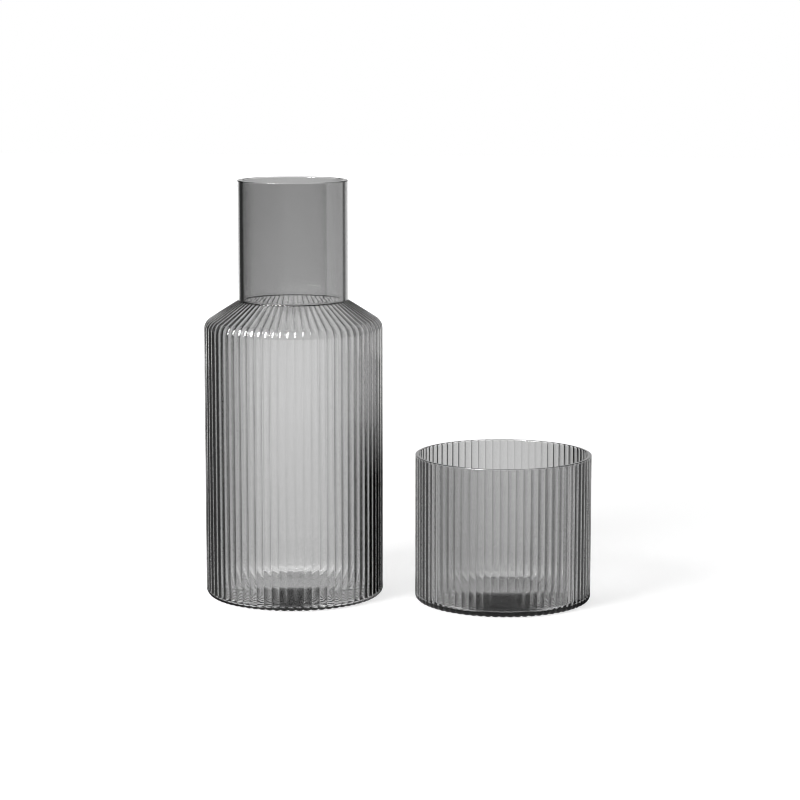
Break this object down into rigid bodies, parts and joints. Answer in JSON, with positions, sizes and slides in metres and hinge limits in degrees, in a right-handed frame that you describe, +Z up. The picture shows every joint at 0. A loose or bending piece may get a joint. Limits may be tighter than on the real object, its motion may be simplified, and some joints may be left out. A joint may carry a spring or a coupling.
{
  "type": "bedside carafe with tumbler",
  "caption": "Ribbed smoked-glass water carafe with a smooth straight neck, and the low ribbed tumbler that stands beside it or over its neck.",
  "frame": {"origin": "centre of the carafe's base, on the surface that both pieces stand on", "axes": "+Z up along the carafe's axis, +X towards the tumbler, -Y towards the front"},
  "size_m": [0.1956, 0.09, 0.2105],
  "materials": {
    "smoked_glass": "clear, neutral grey, fire-polished"
  },
  "bodies": {
    "carafe": {"carafe": "smoked_glass"},
    "tumbler": {"tumbler": "smoked_glass"}
  },
  "joints": [
    {"name": "tumbler_lift", "type": "slide", "parent": "carafe", "child": "tumbler", "axis": [0, 0, 1], "range_m": [0, 0.22]}
  ]
}
